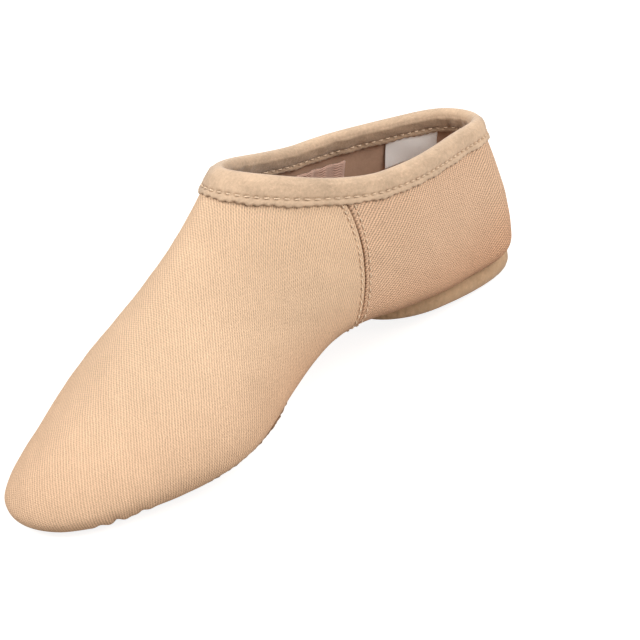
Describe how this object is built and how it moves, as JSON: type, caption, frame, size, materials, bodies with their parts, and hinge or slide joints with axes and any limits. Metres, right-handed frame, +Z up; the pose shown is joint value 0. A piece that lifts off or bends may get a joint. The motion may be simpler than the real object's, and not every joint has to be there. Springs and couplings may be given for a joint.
{
  "type": "ballet slipper",
  "caption": "Split-sole canvas ballet slipper that flexes at the arch, with a bound topline, a suede forefoot patch and a suede-covered heel pad.",
  "frame": {"origin": "centre of the base of the bounding box, on the floor that the slipper stands on", "axes": "+X towards the toe, +Y to the wearer's left, +Z up"},
  "size_m": [0.2396, 0.0882, 0.0931],
  "materials": {
    "canvas": "fine stretch cotton twill, peach tan",
    "lining": "plain brushed cotton, tan",
    "binding": "soft felted fold-over binding, taupe",
    "suede": "brown split suede",
    "heel_suede": "grey tan suede",
    "foam": "soft foam",
    "elastic": "ribbed elastic, pinkish",
    "label": "white woven tape",
    "thread": "cotton thread, pale tan"
  },
  "bodies": {
    "forefoot": {"vamp_canvas": "canvas", "vamp_lining": "lining", "forefoot_patch": "suede", "forefoot_cushion": "foam", "forefoot_sock": "lining", "patch_thread_outer": "thread", "patch_thread_inner": "thread", "seam_thread_front": "thread", "arch_thread_front_left": "thread", "arch_thread_front_right": "thread"},
    "heel": {"quarter_canvas": "canvas", "quarter_lining": "lining", "topline_binding": "binding", "heel_cover": "heel_suede", "heel_lift": "foam", "heel_cushion": "foam", "heel_sock": "lining", "arch_band": "elastic", "size_label": "label", "binding_thread_outer": "thread", "binding_thread_inner": "thread", "seam_thread_rear": "thread", "arch_thread_rear_left": "thread", "arch_thread_rear_right": "thread"}
  },
  "joints": [
    {"name": "arch_flex", "type": "hinge", "parent": "forefoot", "child": "heel", "pos_m": [-0.0187, 0, 0.0445], "axis": [0, -1, 0], "range_deg": [-15, 40], "stiffness_Nm_per_rad": 0.6, "deforming": ["vamp_canvas", "quarter_canvas", "vamp_lining", "quarter_lining", "topline_binding", "arch_band", "binding_thread_outer", "binding_thread_inner", "seam_thread_front", "seam_thread_rear", "arch_thread_front_left", "arch_thread_front_right", "arch_thread_rear_left", "arch_thread_rear_right"]}
  ]
}
